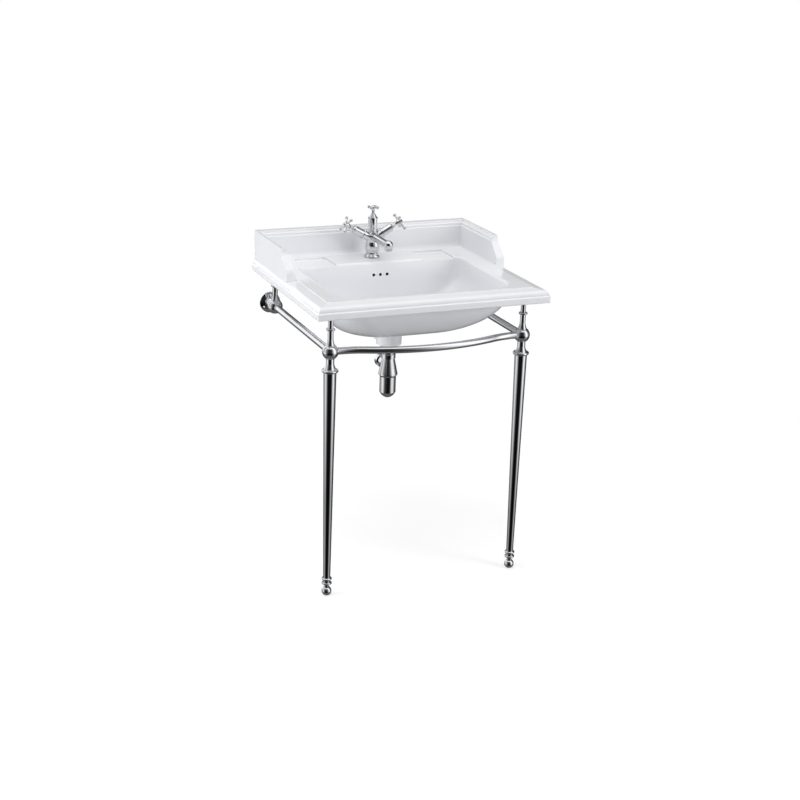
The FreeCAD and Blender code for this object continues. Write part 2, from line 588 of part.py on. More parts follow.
def make_leg(side, x, ferrules):
    spigot = size.leg_top_radius - size.leg_wall - size.spigot_gap
    spigot_low = leg_top - size.leg_spigot
    collar_root = size.collar_radius - size.collar_bulge
    collar_top = leg_top + size.collar_height
    neck_top = size.rail_height - lower_flat
    stud_top = size.rail_height - size.stud_floor - size.end_gap
    keep(turned(f"{side}_leg_neck", [
        (0, spigot_low), (spigot - size.spigot_gap, spigot_low), (spigot, leg_top),
        (size.leg_top_radius, leg_top),
        *ring(collar_root, leg_top, collar_top, size.collar_bulge), (size.bell_radius, collar_top),
        (size.neck_radius, collar_top + size.bell_rise + size.bell_radius - size.neck_radius,
         -size.bell_cove),
        (size.neck_radius, neck_top), (size.stud_radius, neck_top), (size.stud_radius, stud_top),
        (0, stud_top)],
        x=x, y=post_y))
    keep(turned(f"{side}_leg_tube", [
        (size.leg_bottom_radius - size.leg_wall, size.foot_top), (size.leg_bottom_radius, size.foot_top),
        (size.leg_top_radius, leg_top), (size.leg_top_radius - size.leg_wall, leg_top)], x=x, y=post_y))
    hole = size.foot_stud_radius + size.seat_gap
    half = size.foot_ring_height / 2
    ring_root = size.foot_ring_radius - size.foot_ring_bulge
    plug = size.leg_bottom_radius - size.leg_wall - size.seat_gap
    plug_top = size.foot_top + size.leg_spigot
    ferrules.append(turned(f"{side}_foot_ferrule", [
        (hole, size.ferrule_low), (size.foot_waist_radius, size.ferrule_low),
        (size.foot_waist_radius, size.lower_ring - half),
        *ring(ring_root, size.lower_ring - half, size.lower_ring + half, size.foot_ring_bulge),
        (size.foot_waist_radius, size.lower_ring + half),
        (size.foot_waist_radius, size.upper_ring - half),
        *ring(ring_root, size.upper_ring - half, size.upper_ring + half, size.foot_ring_bulge),
        (size.leg_bottom_radius, size.upper_ring + half), (size.leg_bottom_radius, size.foot_top),
        (plug, size.foot_top), (plug, plug_top), (hole, plug_top)], x=x, y=post_y))
    ball_centre = leg_of(size.foot_ball_radius, size.foot_flat_radius)
    ball_top = ball_centre + leg_of(size.foot_ball_radius, size.foot_neck_radius)
    stud_end = size.ferrule_low + size.foot_stud_length
    keep(turned(f"{side}_ball_foot", [
        (0, 0), (size.foot_flat_radius, 0), (size.foot_neck_radius, ball_top, size.foot_ball_radius),
        (size.foot_neck_radius, size.ferrule_low), (size.foot_stud_radius, size.ferrule_low),
        (size.foot_stud_radius, stud_end), (0, stud_end)], x=x, y=post_y))


def make_side_rail(side, x):
    inner = size.rail_radius - size.rail_wall
    length = size.post_reach - size.rear_reach - size.rail_stop * 2
    keep(turned(f"{side}_side_rail", [(inner, 0), (size.rail_radius, 0), (size.rail_radius, length),
                                      (inner, length)],
                x=x, y=post_y + size.rail_stop, z=size.rail_height, axis=(1, 0, 0), angle=-90))


def make_wall_flange(side, x):
    """A wall rose with a neck that seats in the rear ball; it runs out from the wall along its own axis."""
    end = size.rear_reach - size.rail_stop
    rose = turned(f"{side}_rose", [
        (0, 0), (size.rose_radius, 0), (size.rose_radius, size.rose_edge),
        (size.rose_neck_radius, size.rose_rise, size.rose_dome), (size.rail_radius, size.rose_neck_rise),
        (size.rail_radius, end), (0, end)], x=x, y=wall, z=size.rail_height, axis=(1, 0, 0), angle=90)
    holes = []
    circle = size.screw_circle / 2
    for number in range(SCREWS):
        angle = as_size(90 + 360 / SCREWS * number)
        holes.append(rod(f"{side}_screw_hole_{number}", size.screw_radius, size.rose_neck_rise,
                         x=x + circle * cosine(angle), y=wall, z=size.rail_height + circle * sine(angle),
                         axis=(1, 0, 0), angle=90))
    keep(bored(f"{side}_wall_flange", rose, holes))


def make_front_rail():
    """The bowed towel rail: straight at the balls, then a reverse curve into one long forward arc."""
    start = post_x - size.rail_stop
    bend_start = post_x - size.rail_straight
    share = size.rail_bow / bend_start
    turn = Size(2 * math.degrees(math.atan(share.value)), f"(2 * atan({share.text}))")
    bow_radius = bend_start / sine(turn) - size.rail_bend
    bend_x = bend_start - size.rail_bend * sine(turn)
    bend_y = size.rail_bend * cosine(turn) - size.rail_bend
    body = doc.addObject("PartDesign::Body", "front_rail")
    path = drawn(body, "front_rail_path", "XY_Plane", [
        (-start, 0), (-bend_start, 0), (-bend_x, bend_y, -size.rail_bend), (bend_x, bend_y, bow_radius),
        (bend_start, 0, -size.rail_bend), (start, 0)], closed=False)
    section = body.newObject("Sketcher::SketchObject", "front_rail_section")
    section.AttachmentSupport = [(origin_plane(body, "YZ_Plane"), "")]
    section.MapMode = "FlatFace"
    section.setExpression(".AttachmentOffset.Base.z", (-start).text)
    for number, radius in enumerate((size.rail_radius, size.rail_radius - size.rail_wall)):
        section.addGeometry(Part.Circle(Vector(0, 0, 0), Vector(0, 0, 1), radius.value), False)
        section.addConstraint(Sketcher.Constraint("Coincident", number, 3, -1, 1))
        place = section.addConstraint(Sketcher.Constraint("Radius", number, radius.value))
        section.setExpression(f"Constraints[{place}]", radius.text)
    doc.recompute()
    pipe = body.newObject("PartDesign::AdditivePipe", "front_rail_pipe")
    pipe.Profile = section
    pipe.Spine = (path, [f"Edge{number}" for number in range(1, 6)])
    keep(placed(body, y=post_y, z=size.rail_height))


def make_stand():
    ferrules = []
    for side, way in SIDES:
        x = post_x * way
        stud_ball(f"{side}_corner_ball", x, post_y, [(-way, 0), (0, 1)])
        stud_ball(f"{side}_rear_ball", x, rear_y, [(0, -1), (0, 1)])
        support_post(f"{side}_front_post", x, post_y)
        support_post(f"{side}_rear_post", x, rear_y)
        make_leg(side, x, ferrules)
        make_side_rail(side, x)
        make_wall_flange(side, x)
    make_front_rail()
    group("foot_ferrules", ferrules)
    group("support_pads", [rod(f"{side}_{place}_pad", size.stem_top_radius, size.pad_thickness,
                               x=post_x * way, y=y, z=slab_under - size.pad_thickness)
                           for side, way in SIDES for place, y in (("front", post_y), ("rear", rear_y))])


def on_deck(label, outline):
    """A piece turned about the tap's axis, with heights from the deck."""
    return turned(label, outline, y=tap_y, z=size.rim_height)


def make_tap_seat():
    hole = size.shank_radius + size.shank_gap
    gasket = size.gasket_thickness
    keep(on_deck("tap_gasket", [(hole, 0), (size.gasket_radius, 0), (size.gasket_radius, gasket),
                                (hole, gasket)]))
    keep(on_deck("tap_base_ring", [
        (hole, gasket), (size.ring_radius, gasket), (size.ring_radius, gasket + size.ring_edge),
        (hole + size.edge_break, body_foot, size.ring_dome), (hole, body_foot)]))
    spigot_top = body_foot + size.shank_spigot
    shank = on_deck("tap_shank_blank", [
        (0, -size.shank_drop), (size.shank_radius, -size.shank_drop), (size.shank_radius, body_foot),
        (size.shank_spigot_radius, body_foot), (size.shank_spigot_radius, spigot_top), (0, spigot_top)])
    low = size.rim_height - size.shank_drop
    ways = [rod("tap_shank_rod_way", size.rod_way_radius, size.shank_drop + spigot_top, y=tap_y, z=low)]
    for name, way in ARMS:
        ways.append(rod(f"{name}_inlet", size.inlet_radius, size.inlet_length, x=size.inlet_offset * way,
                        y=tap_y, z=low))
    keep(bored("tap_shank", shank, ways))
    under = size.rim_height - size.deck_thickness - size.washer_thickness
    keep(turned("tap_washer", [
        (hole, 0), (size.washer_radius, 0), (size.washer_radius, size.washer_thickness),
        (hole, size.washer_thickness)], y=tap_y, z=under))
    nut_low = under - size.backnut_height
    nut = hexagon("tap_backnut_blank", size.backnut_radius, size.backnut_height, y=tap_y, z=nut_low)
    thread = rod("tap_backnut_thread", size.shank_radius + size.seat_gap, size.backnut_height, y=tap_y,
                 z=nut_low)
    keep(bored("tap_backnut", nut, [thread]))


def on_arm(part_maker, label, way, *sizes):
    """Lay a piece on one of the tap's raised arms; its own Z axis runs out along the arm."""
    return part_maker(label, *sizes, y=tap_y, z=size.rim_height + size.arm_rise, axis=(0, way, 0),
                      angle=as_size(90) - size.arm_tilt)


def make_tap_body():
    spigot = size.column_bore - size.seat_gap
    spigot_top = size.hub_rise + size.column_spigot
    vase = on_deck("tap_vase", [
        (0, body_foot), (size.collar_foot_radius, body_foot),
        (size.collar_foot_radius, body_foot + size.collar_foot),
        (size.waist_radius, body_foot + size.collar_foot + size.edge_break),
        (size.vase_radius, size.vase_rise, size.vase_bulge),
        (size.root_radius, size.root_rise, size.vase_bulge),
        (size.hub_top_radius, size.hub_top_rise, size.hub_bulge),
        (size.hub_top_radius, size.hub_rise), (spigot, size.hub_rise), (spigot, spigot_top),
        (0, spigot_top)])
    spout_z = size.rim_height + size.spout_rise
    boss = rod("tap_spout_boss", size.spout_boss_radius, size.spout_boss_length, y=tap_y, z=spout_z,
               axis=(1, 0, 0), angle=90)
    arms = [on_arm(rod, f"{name}_arm", way, size.arm_radius, size.arm_length) for name, way in ARMS]
    foot = size.rim_height + body_foot
    bores = [rod("tap_rod_way", size.rod_way_radius, spigot_top, y=tap_y, z=foot),
             rod("tap_shank_socket", size.shank_spigot_radius + size.seat_gap,
                 size.shank_spigot + size.end_gap,
                 y=tap_y, z=foot),
             rod("tap_spout_way", size.spout_bore, size.spout_boss_length, y=tap_y, z=spout_z,
                 axis=(1, 0, 0), angle=90)]
    for name, way in ARMS:
        pocket = turned(f"{name}_arm_pocket", [
            (0, size.cartridge_start), (size.cartridge_radius + size.seat_gap, size.cartridge_start),
            (size.cartridge_radius + size.seat_gap, size.arm_length + OVERRUN),
            (0, size.arm_length + OVERRUN)],
            y=tap_y, z=size.rim_height + size.arm_rise, axis=(0, way, 0),
            angle=as_size(90) - size.arm_tilt)
        bores.append(pocket)
    keep(bored("tap_body", fused("tap_casting", [vase, boss] + arms), bores))


def make_spout():
    """The spout runs forward from the tap's boss to a ball elbow and turns down."""
    z = size.rim_height + size.spout_rise
    elbow_start = leg_of(size.elbow_radius, size.spout_end_radius)
    tube = turned("spout_tube", [
        (0, size.spout_boss_length), (size.spout_root_radius, size.spout_boss_length),
        (size.spout_end_radius, size.spout_length - elbow_start),
        (0, size.spout_length + size.elbow_radius, size.elbow_radius)],
        y=tap_y, z=z, axis=(1, 0, 0), angle=90)
    nozzle_y = tap_y - size.spout_length
    nozzle_low = z - size.nozzle_drop
    nozzle = rod("spout_outlet", size.nozzle_radius, size.nozzle_drop, y=nozzle_y, z=nozzle_low)
    bores = [rod("spout_way", size.spout_bore, size.spout_length, y=tap_y, z=z, axis=(1, 0, 0), angle=90),
             rod("spout_down_way", size.spout_bore, size.nozzle_drop, y=nozzle_y, z=nozzle_low),
             rod("aerator_seat", size.aerator_radius + size.seat_gap, size.aerator_height, y=nozzle_y,
                 z=nozzle_low)]
    keep(bored("tap_spout", fused("spout_casting", [tube, nozzle]), bores))
    keep(turned("spout_aerator", [
        (size.aerator_bore, 0), (size.aerator_radius, 0), (size.aerator_radius, size.aerator_height),
        (size.aerator_bore, size.aerator_height)], y=nozzle_y, z=nozzle_low))


def make_column():
    foot = size.hub_rise
    top = foot + size.column_height
    keep(on_deck("tap_column", [
        (size.column_bore, foot), (size.column_foot_radius, foot),
        *ring(size.column_foot_radius - size.edge_break, foot + size.edge_break,
              foot + size.column_foot_height, size.edge_break),
        (size.column_radius, foot + size.column_foot_height), (size.column_radius, top),
        (size.column_bore, top)]))
    guide = size.lift_rod_radius + size.guide_gap
    spigot = size.column_bore - size.seat_gap
    spigot_low = top - size.column_spigot
    keep(on_deck("column_cap", [
        (guide, spigot_low), (spigot, spigot_low), (spigot, top), (size.cap_radius, top),
        (size.cap_radius, top + size.cap_rim),
        (size.cap_radius - size.cap_shoulder, top + size.cap_rim + size.edge_break),
        (size.roof_radius, foot + size.roof_rise), (guide, foot + size.roof_rise)]))


def cross_spokes(label, way_parts, neck_radius, reach, ball_radius, start):
    """Four spokes with ball ends, at the corners of a square, laid by way_parts(label, outline, angle)."""
    foot = leg_of(ball_radius, neck_radius)
    outline = [(0, start), (neck_radius, start), (neck_radius, reach - foot),
               (0, reach + ball_radius, ball_radius)]
    return [way_parts(f"{label}_{number}", outline, 45 + 90 * number) for number in range(4)]


def make_handle(name, way):
    """One crosshead with the bonnet, cartridge and spindle that it turns on, along its arm."""
    core = size.cartridge_radius
    running = size.spindle_radius + size.spindle_gap
    pass_hole = size.spindle_radius + size.spindle_pass
    keep(on_arm(turned, f"{name}_bonnet", way, [
        (core + size.seat_gap, size.arm_length), (size.bonnet_ring_radius, size.arm_length),
        (size.bonnet_ring_radius, size.arm_length + size.bonnet_ring),
        (size.bonnet_radius, size.arm_length + size.bonnet_ring + size.edge_break),
        (size.bonnet_radius, size.bonnet_end),
        (size.bonnet_neck_radius, size.bonnet_top - size.bonnet_tip),
        (size.bonnet_neck_radius, size.bonnet_top), (pass_hole, size.bonnet_top),
        (pass_hole, size.cartridge_end),
        (core + size.seat_gap, size.cartridge_end)]))
    keep(on_arm(turned, f"{name}_cartridge", way, [
        (0, size.cartridge_start), (core, size.cartridge_start), (core, size.cartridge_end),
        (running, size.cartridge_end), (running, size.spindle_start - size.end_gap),
        (0, size.spindle_start - size.end_gap)]))
    hub_low = size.handle_centre - size.handle_hub_half
    hub_high = size.handle_centre + size.handle_hub_half
    spindle_end = hub_high - size.cap_seat - size.edge_break
    keep(on_arm(turned, f"{name}_spindle", way, [
        (0, size.spindle_start), (size.spindle_radius, size.spindle_start),
        (size.spindle_radius, spindle_end),
        (0, spindle_end)]))
    foot = size.bonnet_top + size.handle_gap
    hub = on_arm(turned, f"{name}_handle_hub", way, [
        (size.spindle_radius, foot), (size.handle_foot_radius, foot),
        (size.handle_waist_radius, size.handle_waist), (size.handle_hub_radius, hub_low),
        (size.handle_hub_radius, hub_high - size.edge_break),
        (size.handle_hub_radius - size.edge_break, hub_high),
        (size.cap_seat_radius + size.seat_gap, hub_high),
        (size.cap_seat_radius + size.seat_gap, hub_high - size.cap_seat),
        (0, hub_high - size.cap_seat), (0, spindle_end), (size.spindle_radius, spindle_end)])
    spokes = cross_spokes(f"{name}_spoke", lambda label, outline,
                          angle: spoke_on_arm(label, outline, angle, way),
                          size.spoke_radius, size.spoke_length, size.spoke_ball_radius,
                          (size.spindle_radius + size.handle_hub_radius) / 2)
    keep(fused(f"{name}_handle", [hub] + spokes))
    cap_dome = bulge_radius(size.cap_seat_radius, size.handle_cap_rise)
    keep(on_arm(turned, f"{name}_handle_cap", way, [
        (0, hub_high - size.cap_seat), (size.cap_seat_radius, hub_high - size.cap_seat),
        (size.cap_seat_radius, hub_high), (0, hub_high + size.handle_cap_rise, cap_dome)]))


def spoke_on_arm(label, outline, angle, way):
    """A spoke square to an arm: tipped over at the handle's centre, then turned with the arm."""
    spoke = turned(label, outline)
    lean = f"rotation(vector(0; {way}; 0); 90 - Sizes.arm_tilt)"
    spin = f"rotation(vector(0; 0; 1); {angle})"
    tip = "rotation(vector(0; 1; 0); 90)"
    out = f"vector(Sizes.handle_centre * cos(Sizes.arm_tilt) * {way}; {tap_y.text}; "
    out += f"Sizes.rim_height + Sizes.arm_rise + Sizes.handle_centre * sin(Sizes.arm_tilt))"
    spoke.setExpression("Placement", f"placement({out}; {lean} * {spin} * {tip})")
    return spoke


def make_lift():
    """The pop-up's knob, rod and strap, which rise together through the tap's column."""
    foot = size.hub_rise + size.roof_rise + size.knob_clear
    rod_top = foot + size.knob_rod_depth
    hub_top = foot + size.knob_height
    hub = on_deck("lift_knob_hub", [
        (size.lift_rod_radius, foot), (size.knob_foot_radius, foot),
        (size.knob_waist_radius, foot + size.knob_waist_rise),
        (size.knob_hub_radius, foot + size.knob_hub_rise),
        (size.knob_hub_radius, hub_top - size.knob_crown), (size.lift_rod_radius, hub_top), (0, hub_top),
        (0, rod_top),
        (size.lift_rod_radius, rod_top)])
    lobe_z = size.rim_height + hub_top - size.lobe_drop
    lobes = cross_spokes("lift_knob_lobe", lambda label, outline,
                         angle: knob_lobe(label, outline, angle, lobe_z),
                         size.lobe_neck_radius, size.lobe_reach, size.lobe_radius,
                         size.lift_rod_radius + size.end_gap)
    keep(fused("lift_knob", [hub] + lobes))
    keep(on_deck("lift_rod", [
        (0, -size.lift_rod_low), (size.lift_rod_radius, -size.lift_rod_low),
        (size.lift_rod_radius, rod_top),
        (0, rod_top)]))
    make_strap(size.rim_height - size.lift_rod_low)


def knob_lobe(label, outline, angle, z):
    lobe = turned(label, outline)
    spot = f"vector(0; {tap_y.text}; {z.text})"
    lobe.setExpression("Placement", f"placement({spot}; rotation(vector(0; 0; 1); {angle}) * "
                                    "rotation(vector(0; 1; 0); 90))")
    return lobe


def make_strap(rod_low):
    """The strap hangs from the rod and is lifted with it; the pivot rod passes through one of its holes."""
    arm = size.waste_reach - size.pivot_back - size.tap_reach
    rod_hole = size.pivot_height + arm * tangent(size.rest_tilt)
    low = rod_hole - size.strap_tail
    head = block("strap_head_block", size.strap_head, size.strap_head, size.strap_head_height, y=tap_y,
                 z=rod_low)
    blade = block("strap_blade", size.strap_width, size.strap_thickness, rod_low - low, y=tap_y, z=low)
    holes = [rod("strap_rod_hole", size.lift_rod_radius, size.strap_head_height, y=tap_y, z=rod_low)]
    for number in range(int(size.strap_spare_holes.value) + 1):
        holes.append(rod(f"strap_hole_{number}", size.strap_hole_radius, size.strap_thickness,
                         y=tap_y + size.strap_thickness / 2, z=rod_hole + size.strap_hole_step * number,
                         axis=(1, 0, 0), angle=90))
    middle = rod_low + size.strap_head_height / 2
    face = size.strap_head / 2
    holes.append(rod("strap_screw_hole", size.screw_shaft_radius, face, y=tap_y + size.lift_rod_radius,
                     z=middle,
                     axis=(1, 0, 0), angle=-90))
    keep(bored("lift_strap", fused("strap_blank", [head, blade]), holes))
    keep(turned("strap_screw", [
        (0, size.lift_rod_radius), (size.screw_shaft_radius, size.lift_rod_radius),
        (size.screw_shaft_radius, face),
        (size.screw_head_radius, face), (size.screw_head_radius, face + size.screw_head_height),
        (0, face + size.screw_head_height)], y=tap_y, z=middle, axis=(1, 0, 0), angle=-90))


def make_pivot():
    """The pivot rod tips about its ball in the waste's rear port; the nut holds the ball."""
    ball = leg_of(size.pivot_ball_radius, size.pivot_rod_radius)
    inner = (size.pivot_back + size.rod_inner_end) / cosine(size.rest_tilt)
    reach = size.waste_reach - size.pivot_back - size.tap_reach
    outer = (reach + size.rod_overhang) / cosine(size.rest_tilt)
    keep(turned("pivot_rod", [
        (0, -inner), (size.pivot_rod_radius, -inner), (size.pivot_rod_radius, -ball),
        (size.pivot_rod_radius, ball, size.pivot_ball_radius), (size.pivot_rod_radius, outer),
        (0, outer)],
        y=pivot_y, z=size.pivot_height, axis=(1, 0, 0), angle=size.rest_tilt - 90))
    end = size.port_length + size.pivot_nut_lip
    thread = size.port_radius + size.seat_gap
    keep(turned("pivot_nut", [
        (thread, size.pivot_nut_start), (size.pivot_nut_radius, size.pivot_nut_start),
        (size.pivot_nut_radius, end),
        (size.pivot_nut_hole, end), (size.pivot_nut_hole, size.port_length), (thread, size.port_length)],
        y=waste_y, z=size.pivot_height, axis=(1, 0, 0), angle=-90))


def at_waste(label, outline):
    """A piece turned about the waste's axis, with heights from the floor."""
    return turned(label, outline, y=waste_y)


def make_waste():
    seat = size.rim_height - size.bowl_depth - size.recess_depth
    flange_low = seat + size.seal_thickness
    flange_top = flange_low + size.flange_height
    seat_low = flange_top - size.seat_depth
    nut_top = size.trap_top + size.nut_wall_height
    tail_end = size.trap_top + size.trap_neck_height - size.trap_socket_depth
    tube = at_waste("waste_tube", [
        (size.waste_bore, tail_end), (size.tail_radius, tail_end),
        (size.tail_radius, nut_top + size.end_gap),
        (size.waste_radius, nut_top + size.end_gap), (size.waste_radius, flange_low),
        (size.flange_radius, flange_low), (size.flange_radius, flange_top - size.edge_break),
        (size.flange_radius - size.edge_break, flange_top),
        (size.seat_top_radius, flange_top), (size.waste_bore, seat_low)])
    port = rod("waste_port", size.port_radius, size.port_length, y=waste_y, z=size.pivot_height,
               axis=(1, 0, 0), angle=-90)
    clear = rod("waste_bore_clear", size.waste_bore, seat_low - tail_end, y=waste_y, z=tail_end)
    seat_start = size.pivot_back - size.port_seat
    bores = [clear,
             rod("port_inner_bore", size.port_bore, seat_start, y=waste_y, z=size.pivot_height,
                 axis=(1, 0, 0), angle=-90),
             rod("port_ball_bore", size.port_seat_radius, size.port_length, y=waste_y,
                 z=size.pivot_height,
                 axis=(1, 0, 0), angle=-90),
             block("overflow_slot", size.slot_width, size.flange_radius * 2, size.slot_height, y=waste_y,
                   z=flange_low - size.slot_drop)]
    keep(bored("waste_body", fused("waste_casting", [tube, port]), bores))
    inner = size.waste_radius + size.seat_gap
    keep(at_waste("waste_seal", [(size.waste_hole_radius, seat), (size.flange_radius, seat),
                                 (size.flange_radius, flange_low), (size.waste_hole_radius, flange_low)]))
    washer_low = boss_under - size.waste_washer_thickness
    keep(at_waste("waste_washer", [(inner, washer_low), (size.waste_washer_radius, washer_low),
                                   (size.waste_washer_radius, boss_under), (inner, boss_under)]))
    nut_low = washer_low - size.waste_nut_height
    nut = hexagon("waste_backnut_blank", size.waste_nut_radius, size.waste_nut_height, y=waste_y,
                  z=nut_low)
    keep(bored("waste_backnut", nut, [rod("waste_backnut_thread", inner, size.waste_nut_height,
                                          y=waste_y, z=nut_low)]))
    make_plug(flange_top, seat_low)


def make_plug(flange_top, seat_low):
    """The plug stands open at rest, held up by the pivot rod through the eye in its stem."""
    lift = size.pivot_back * (tangent(size.rest_tilt + size.swing) - tangent(size.rest_tilt))
    eye = size.pivot_height - size.pivot_back * tangent(size.rest_tilt)
    low = flange_top + size.plug_gap + lift
    cone = (size.seat_top_radius - size.waste_bore) / size.seat_depth
    side = size.plug_seal_depth * cone
    rim = size.seat_top_radius - size.plug_gap * 2
    seal_low = low - size.plug_seal_depth
    top = low + size.plug_edge
    disc = at_waste("plug_disc", [
        (0, eye + size.eye_rise), (size.plug_stem_radius, eye + size.eye_rise),
        (size.plug_stem_radius, seal_low), (size.plug_core_radius, seal_low),
        (size.plug_core_radius, low), (size.plug_radius, low), (size.plug_radius, top),
        (0, top + size.plug_dome, bulge_radius(size.plug_radius, size.plug_dome))])
    blade = block("plug_blade", size.eye_width, size.eye_thickness, size.eye_rise * 2, y=waste_y,
                  z=eye - size.eye_rise)
    hole = rod("plug_eye", size.eye_radius, size.eye_thickness, y=waste_y + size.eye_thickness / 2, z=eye,
               axis=(1, 0, 0), angle=90)
    keep(bored("plug", fused("plug_blank", [disc, blade]), [hole]))
    keep(at_waste("plug_seal", [
        (size.plug_core_radius, seal_low), (rim - side, seal_low), (rim, low),
        (size.plug_core_radius, low)]))


def make_trap():
    neck_top = size.trap_top + size.trap_neck_height
    socket_low = neck_top - size.trap_socket_depth
    cone_low = size.trap_top - size.cone_height
    edge_low = cone_low - size.cone_edge
    thread_low = edge_low - size.cone_chamfer
    socket = size.tail_radius + size.seat_gap
    dip_bore = size.dip_radius - size.trap_wall / 2
    dip_low = socket_low - size.dip_length
    chamber_top = size.trap_top - size.chamber_drop
    shell = at_waste("trap_shell", [
        (dip_bore, dip_low), (size.dip_radius, dip_low), (size.dip_radius, chamber_top),
        (size.cone_top_radius, chamber_top), (size.cone_radius - size.trap_wall, cone_low),
        (size.trap_thread_radius, edge_low), (size.trap_thread_radius, thread_low),
        (size.cup_radius, thread_low),
        (size.cone_radius, edge_low), (size.cone_radius, cone_low), (size.cone_top_radius, size.trap_top),
        (size.trap_neck_radius, size.trap_top), (size.trap_neck_radius, neck_top), (socket, neck_top),
        (socket, socket_low), (dip_bore, socket_low)])
    outlet_start = size.dip_radius + size.trap_wall
    outlet = turned("trap_outlet", [
        (size.outlet_bore, outlet_start), (size.outlet_radius, outlet_start),
        (size.outlet_radius, size.outlet_length), (size.pipe_radius, size.outlet_length),
        (size.pipe_radius, size.outlet_socket), (size.outlet_bore, size.outlet_socket)],
        y=waste_y, z=size.outlet_rise, axis=(1, 0, 0), angle=-90)
    way = rod("trap_outlet_way", size.outlet_bore, size.outlet_socket - outlet_start,
              y=waste_y + outlet_start,
              z=size.outlet_rise, axis=(1, 0, 0), angle=-90)
    keep(bored("trap_body", fused("trap_casting", [shell, outlet]), [way]))
    make_trap_nuts(neck_top)
    make_cup(thread_low)


def make_trap_nuts(neck_top):
    thread = size.trap_neck_radius + size.seat_gap
    tail = size.tail_radius + size.seat_gap
    nut_top = size.trap_top + size.nut_wall_height
    lip = nut_top - size.nut_lip
    keep(at_waste("trap_inlet_nut", [
        (thread, size.trap_top), (size.inlet_nut_radius, size.trap_top),
        (size.inlet_nut_radius, nut_top - size.edge_break),
        (size.inlet_nut_radius - size.edge_break, nut_top), (tail, nut_top), (tail, lip), (thread, lip)]))
    keep(at_waste("trap_inlet_seal", [
        (tail, neck_top), (size.trap_neck_radius, neck_top), (size.trap_neck_radius, lip), (tail, lip)]))
    end = size.outlet_length + size.outlet_seal_thickness + size.outlet_lip
    outlet_thread = size.outlet_radius + size.seat_gap
    outlet_lip = end - size.outlet_lip
    keep(turned("outlet_nut", [
        (outlet_thread, end - size.outlet_nut_length),
        (size.inlet_nut_radius, end - size.outlet_nut_length),
        (size.inlet_nut_radius, end - size.edge_break), (size.inlet_nut_radius - size.edge_break, end),
        (size.pipe_radius, end),
        (size.pipe_radius, outlet_lip), (outlet_thread, outlet_lip)],
        y=waste_y, z=size.outlet_rise, axis=(1, 0, 0), angle=-90))


def make_cup(thread_low):
    """The trap's cup unscrews for cleaning; its ring seal sits under the body."""
    top = thread_low - size.cup_seal_thickness
    low = top - size.cup_height
    bottom = low - size.cup_bottom
    thread = size.trap_thread_radius - size.seat_gap
    inner = thread - size.trap_wall
    dish = size.cup_bottom - size.trap_wall
    keep(at_waste("cup_seal", [(size.trap_thread_radius, top), (size.cup_radius, top),
                               (size.cup_radius, thread_low), (size.trap_thread_radius, thread_low)]))
    keep(at_waste("trap_cup", [
        (0, bottom), (size.cup_base_radius, bottom), (size.cup_radius, low, size.cup_round),
        (size.cup_radius, top), (thread, top), (thread, top + size.cup_thread),
        (inner, top + size.cup_thread),
        (inner, low), (0, low - dish, -bulge_radius(inner, dish))]))


def check_and_write():
    """Stop on any failed piece, then write each node to its own file."""
    doc.recompute()
    failed = [part.Name for part in doc.Objects if {"Invalid", "Error"} & set(part.State)]
    for part in nodes:
        if part.Shape.isNull() or not part.Shape.isValid() or not part.Shape.Solids:
            failed.append(part.Label)
    if failed:
        raise RuntimeError("failed pieces: " + ", ".join(failed))
    os.makedirs("parts", exist_ok=True)
    for part in nodes:
        part.Shape.exportStep(f"parts/{part.Label}.step")
        print(f"{part.Label}: {len(part.Shape.Solids)} solid(s), {part.Shape.Volume:.0f} mm3")


make_basin()
make_stand()
make_tap_seat()
make_tap_body()
make_spout()
make_column()
for arm_name, arm_way in ARMS:
    make_handle(arm_name, arm_way)
make_lift()
make_pivot()
make_waste()
make_trap()
check_and_write()
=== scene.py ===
"""Looks for the console sink: materials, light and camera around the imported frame."""

import json
import math

import bpy
from mathutils import Matrix, Vector

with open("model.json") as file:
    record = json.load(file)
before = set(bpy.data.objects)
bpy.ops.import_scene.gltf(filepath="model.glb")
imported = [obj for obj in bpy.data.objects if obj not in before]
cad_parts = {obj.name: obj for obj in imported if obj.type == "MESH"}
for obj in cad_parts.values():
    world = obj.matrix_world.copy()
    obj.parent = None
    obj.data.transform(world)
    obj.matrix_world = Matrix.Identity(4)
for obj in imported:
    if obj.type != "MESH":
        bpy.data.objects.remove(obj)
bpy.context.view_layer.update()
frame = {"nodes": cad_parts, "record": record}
NODES = frame["nodes"]
SLOT_OF = {part["node"]: part["material_slot"] for part in frame["record"]["subparts"]}

# Camera, fitted to the photograph: degrees, metres and pixels
VIEW_TURN, VIEW_RISE, VIEW_ROLL = 22.9, 18.7, 1.8
VIEW_DISTANCE = 4.4341
VIEW_TARGET = Vector((0.0383, 0.0450, 0.4365))
FOCAL_PIXELS, PICTURE_PIXELS, SENSOR = 1558.7, 800, 36.0

# The studio that polished metal mirrors: degrees to the right of the camera's side, and brightness there,
# near the floor and at eye level
LOW_BANDS = ((-180, 0.12), (-150, 0.22), (-130, 0.34), (-101, 0.70), (-77, 1.40), (-60, 0.75), (-45, 0.16),
             (-33, 0.02), (-20, 0.008), (0, 0.012), (20, 0.008), (30, 0.02), (40, 0.18), (52, 0.85),
             (72, 1.70), (95, 0.40), (126, 0.04), (150, 0.05), (180, 0.12))
EYE_BANDS = ((-180, 0.08), (-160, 0.18), (-142, 1.25), (-122, 1.40), (-104, 0.40), (-80, 1.10), (-55, 0.35),
             (-30, 0.05), (0, 0.02), (20, 0.05), (34, 0.25), (46, 0.70), (60, 1.45), (76, 1.70), (95, 0.40),
             (126, 0.05), (150, 0.05), (180, 0.08))
OVERHEAD, UNDERFOOT, LOW_DIMMING = 1.50, 0.15, 0.65
SOFT_LEVEL = 0.43
